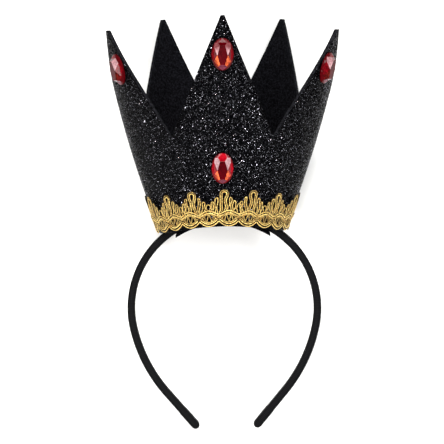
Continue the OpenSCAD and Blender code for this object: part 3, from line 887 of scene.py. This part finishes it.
class BraidLayout:
    """Works out where the braid's cords and threads run on the outside of the wall. A line is
    a list of (point, way out), and whether it is closed."""

    def __init__(self, look):
        self.look = look
        self.wall = WallLayout()
        self.chance = random.Random(11)
        # The length along the braid of one degree round the crown
        self.degree = math.radians(1) * BRAID_RADIUS
        # The middle of the plait, how far from it its two cords meet, and how much further they part
        self.middle = look.rise + look.plait_height / 2 + look.eye_shift
        self.meet = look.plait_spread + look.plait_strand * 1.1
        self.reach = look.plait_height / 2 - look.plait_spread - look.plait_strand - self.meet

    def opening(self, turn, side):
        """How far the upper (side 1) or lower (-1) half of an eye is open, from 0 to 1."""
        wave = (1 + math.cos((math.radians(turn) - self.look.eye_turn) * self.look.eyes)) / 2
        return wave ** (self.look.arch_point if side > 0 else self.look.bowl_point)

    def cord_height(self, turn, side):
        """The height of the upper (side 1) or lower (-1) cord of the plait above the rim."""
        apart = self.meet + (self.reach - side * self.look.eye_shift) * self.opening(turn, side)
        return self.middle + side * apart

    def plait(self):
        """The lines of the two plaited cords, and how far their strands part."""
        look = self.look
        steps = look.eyes * 20
        lines, wide = [], []
        for side in (-1, 1):
            line = []
            for i in range(steps):
                turn = i * 360 / steps - 180
                # Where the cords cross they lie lower, and their strands closer
                open_by = self.opening(turn, side)
                lift = GLUE_GAP + look.plait_strand + look.cross_lift * (0.5 + 0.5 * open_by)
                line.append(self.wall.place(turn, self.cord_height(turn, side), lift))
                wide.append(0.85 + 0.25 * open_by)
            lines.append((line, True))
        return lines, wide

    def loop(self, turn, foot, head, top, radius, lift, slope, strands):
        """Points of one loop: up from its foot, round its head and down again. Its head slopes
        away from the middle of the fan, and its legs pinch in and waver."""
        # Steps up a leg and round the head
        steps = 12
        # How deep a foot is tucked in, and how far and how often a leg wavers
        tuck = 0.7 * MM
        waver, turns = 0.45 * MM, 8
        # Width at the cord and at the foot as shares of the head's
        root_width, foot_width = 0.8, 0.76
        # Length of the pinch and where the lift begins to be full, as shares of the leg
        pinch_length, lifted = 0.22, 0.4
        base = GLUE_GAP + self.look.loop_strand * STRAND_OVAL[1]
        outside = self.look.loop_strand + self.look.loop_spread * (strands - 1)
        centre = top - radius * math.hypot(1, slope) - outside
        pinch = self.chance.uniform(0.5, 0.68)
        closed = self.chance.uniform(0.25, 0.45) * (strands - 1)
        legs = []
        for side in (-1, 1):
            root = turn + (foot + side * radius * root_width) / self.degree
            low = self.cord_height(root, 1) - tuck
            high = centre + side * radius * slope
            sway = self.chance.uniform(0, 6)
            leg = []
            for i in range(steps):
                share = i / steps
                narrow = closed * math.exp(-((share - pinch) / pinch_length) ** 2)
                width = foot_width + (1 - foot_width) * share - narrow
                across = foot + (head - foot) * share + side * radius * width
                across += waver * math.sin(turns * share + sway) * (1 - share ** 3)
                leg.append((turn + across / self.degree, low + (high - low) * share,
                            base + lift * min(1, share / lifted)))
            legs.append(leg)
        arch = []
        for i in range(steps + 1):
            angle = math.pi * i / steps
            arch.append((turn + (head - radius * math.cos(angle)) / self.degree,
                         centre + radius * (math.sin(angle) - math.cos(angle) * slope), base + lift))
        return [self.wall.place(*spot) for spot in legs[0] + arch + legs[1][::-1]]

    def fans(self):
        """The loops of all fans, by how many strands lie side by side. No two fans are alike."""
        tallest = LOOPS[0][2]
        pitch = 360 / self.look.fans
        lines = {1: [], 2: []}
        for i in range(self.look.fans):
            turn = i * pitch - 180 + pitch / 2
            lean = self.chance.uniform(-0.9, 0.9)
            for foot, head, top, radius, lift, slope, strands in LOOPS:
                aside = lean * top / tallest + self.chance.uniform(-0.3, 0.3)
                tall = top / tallest * self.look.height + self.chance.uniform(-0.45, 0.35) * MM
                wide = radius * self.chance.uniform(0.95, 1.25) * MM
                line = self.loop(turn, foot * MM, (head + aside) * MM, tall, wide, lift * MM, slope, strands)
                lines[strands].append((line, False))
        return lines

    def threads(self):
        """The threads of each eye: a zigzag across it, a ring that lines it, and two that cross
        where it meets the next."""
        # Turns of a zigzag and its width, half the ring's width, and the rise of a crossing thread
        zigs = 4
        zig_width = 6.2 * MM
        ring_reach = 3.9 * MM
        cross_rise = 1.4 * MM
        ring_steps = 20
        pitch = 360 / self.look.eyes
        base = GLUE_GAP + self.look.thread_radius
        inside = self.look.plait_spread + self.look.plait_strand + self.look.thread_radius
        lines = []
        for i in range(self.look.eyes):
            eye = math.degrees(self.look.eye_turn) + i * pitch
            zigzag = []
            for k in range(zigs + 1):
                spot = (k / zigs - 0.5) * zig_width + self.chance.uniform(-0.4, 0.4) * MM
                turn = eye + spot / self.degree
                side = 1 if (k + i) % 2 else -1
                edge = self.cord_height(turn, side) - side * 0.5 * MM
                height = self.middle + (edge - self.middle) * self.chance.uniform(0.75, 1.0)
                zigzag.append(self.wall.place(turn, height, base + 0.1 * MM * (k % 2)))
            lines.append((zigzag, False))
            top = self.cord_height(eye, 1) - inside
            bottom = self.cord_height(eye, -1) + inside
            ring = []
            for k in range(ring_steps):
                angle = math.tau * k / ring_steps
                ring.append(self.wall.place(eye + ring_reach * math.cos(angle) / self.degree,
                                            (top + bottom) / 2 + (top - bottom) / 2 * math.sin(angle),
                                            base + 0.35 * MM))
            lines.append((ring, True))
            for side in (-1, 1):
                cross = [self.wall.place(eye + pitch * (0.5 + 0.24 * k), self.middle + side * k * cross_rise,
                                         base + (0.3 + 0.1 * side) * MM) for k in (-1, 0, 1)]
                lines.append((cross, False))
        return lines


class HEADBAND_OT_braid(bpy.types.Operator):
    """Makes the pierced braid: plaited cords, fans of loops and the threads in its eyes"""
    bl_idname = "headband.braid"
    bl_label = "Braid"

    def execute(self, context):
        look = settings().braid
        layout = BraidLayout(look)
        plait, wide = layout.plait()
        fans = layout.fans()
        threads = layout.threads()
        gold = gold_yarn()
        # Name, lines, how far strands part, their sides, radius and spread, then the steps along
        # and the length of a twist in millimetres and the corners round a strand
        for name, lines, parting, sides, radius, spread, step, twist, corners in (
                ("plait_cords", plait, wide, (-1, 1), look.plait_strand, look.plait_spread, 0.5, 2.4, 8),
                ("fan_centres", fans[2], None, (-1, 1), look.loop_strand, look.loop_spread, 0.55, 2.0, 8),
                ("fan_sides", fans[1], None, (0,), look.loop_strand, look.loop_spread, 0.55, 2.0, 8),
                ("eye_threads", threads, None, (0,), look.thread_radius, 0.0, 0.5, 1.6, 6)):
            guide = guide_mesh(name + "_guide", lines, parting)
            piece = grow(name, guide, cord_tree(name + "_cord", sides), {
                "Radius": radius, "Spread": spread, "Step": step * MM, "Twist": twist * MM,
                "Corners": corners, "Finish": gold})
            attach(piece, "root")
            # The CAD solid holds no threads
            if name != "eye_threads":
                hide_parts("braid")
        return {"FINISHED"}


def stone_axes(spots, centre):
    """The ways across, along and out of a stone. Along looks up the crown, out away from it."""
    out, _, along = np.linalg.eigh(np.cov((spots - centre).T))[1].T
    turned = UPRIGHT.to_3x3()
    if (turned @ Vector(along)).z < 0:
        along = -along
    away = UPRIGHT @ Vector(centre)
    if (turned @ Vector(out)).dot(Vector((away.x, away.y, 0))) < 0:
        out = -out
    return np.cross(along, out), along, out


def facet_tint(tints, light, middle, corner, flat):
    """The colour of a facet at one of its corners, with the stone's painted light in it, and how
    strongly its painted streaks show. The middle and the corner are shares of the stone's half sizes
    across, along and out."""
    table, red, pink, orange, mauve = tints
    end, wash, gleam, side, glow = light
    turn = math.degrees(math.atan2(middle[1], abs(middle[0])))
    near = 1.0 if corner[2] > 0.9 else 0.0
    # The table, with painted shade that darkens it towards its upper end
    if flat:
        return table * (0.8 - 0.3 * corner[1]), 0.35
    # The girdle and its bevel
    if math.hypot(middle[0], middle[1]) > 0.88:
        return red * side * 0.5, 0.35
    # The upper end
    if turn > 72:
        return red * end * (1 - 0.3 * near), 0.35
    # The upper sides, with a painted reflection of the lamps, and a painted highlight beside the table
    if turn > 18:
        lit = gleam if near and corner[1] < 0.45 else wash
        return pink * lit + red * 0.35 * max(0, 1 - lit), 0.4
    # The two sides
    if turn > -18:
        return red * side, 0.6
    # The lower sides, with a painted orange glow that is strongest beside the table
    if turn > -72:
        return orange * glow * (0.25 + 0.85 * near) + red * side * (0.8 - 0.5 * near), 0.8
    # The lower end
    return mauve * (0.85 + 0.3 * near), 0.35


class HEADBAND_OT_stones(bpy.types.Operator):
    """Makes the four faceted stones"""
    bl_idname = "headband.stones"
    bl_label = "Stones"

    def execute(self, context):
        look = settings().stone
        finish = foiled_acrylic()
        tints = [np.array(c[:3]) for c in (look.table, look.red, look.pink, look.orange, look.mauve)]
        for node_name, light in FACET_LIGHT.items():
            name = node_name.replace("gem", "stone")
            form = merged(node_name)
            bmesh.ops.dissolve_limit(form, angle_limit=math.radians(2), verts=form.verts, edges=form.edges)
            mesh = bevelled(name, form, finish, look.edge / 2, segments=1, turn=12)
            spots = np.array([v.co for v in mesh.vertices])
            centre = (spots.max(0) + spots.min(0)) / 2
            axes = stone_axes(spots, centre)
            local = np.stack([(spots - centre) @ axis for axis in axes], 1)
            shares = local / np.abs(local).max(0)
            mesh.attributes.new("cut", "FLOAT_VECTOR", "POINT").data.foreach_set("vector", shares.ravel())
            colours = []
            for polygon in mesh.polygons:
                corners = shares[list(polygon.vertices)]
                flat = np.array(polygon.normal) @ axes[2] > 0.97
                for corner in corners:
                    tint, streaks = facet_tint(tints, light, corners.mean(0), corner, flat)
                    colours += [*tint, streaks]
            mesh.attributes.new("facet", "FLOAT_COLOR", "CORNER").data.foreach_set("color", colours)
            stone = shown(name, mesh)
            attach(stone, "root")
            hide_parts(node_name)
        return {"FINISHED"}


class HEADBAND_PT_pieces(bpy.types.Panel):
    bl_label = "Mini crown headband"
    bl_idname = "HEADBAND_PT_pieces"
    bl_space_type = "VIEW_3D"
    bl_region_type = "UI"
    bl_category = "Headband"

    def draw(self, context):
        for operator in OPERATORS:
            self.layout.operator(operator.bl_idname)
        for part in ("band", "crown", "braid", "stone", "stage"):
            box = self.layout.box()
            group = getattr(context.scene.crown_headband, part)
            for key in group.bl_rna.properties.keys():
                if key not in ("rna_type", "name"):
                    box.prop(group, key)


OPERATORS = (HEADBAND_OT_stage, HEADBAND_OT_band, HEADBAND_OT_crown, HEADBAND_OT_flakes,
             HEADBAND_OT_linings, HEADBAND_OT_braid, HEADBAND_OT_stones)
CLASSES = (BandSettings, CrownSettings, BraidSettings, StoneSettings, StageSettings,
           HeadbandSettings) + OPERATORS + (HEADBAND_PT_pieces,)


def register():
    for kind in CLASSES:
        bpy.utils.register_class(kind)
    bpy.types.Scene.crown_headband = bpy.props.PointerProperty(type=HeadbandSettings)


def unregister():
    del bpy.types.Scene.crown_headband
    for kind in reversed(CLASSES):
        bpy.utils.unregister_class(kind)


def main():
    register()
    bpy.ops.headband.stage()
    bpy.ops.headband.band()
    bpy.ops.headband.crown()
    bpy.ops.headband.flakes()
    bpy.ops.headband.linings()
    bpy.ops.headband.braid()
    bpy.ops.headband.stones()


if __name__ == "__main__":
    main()
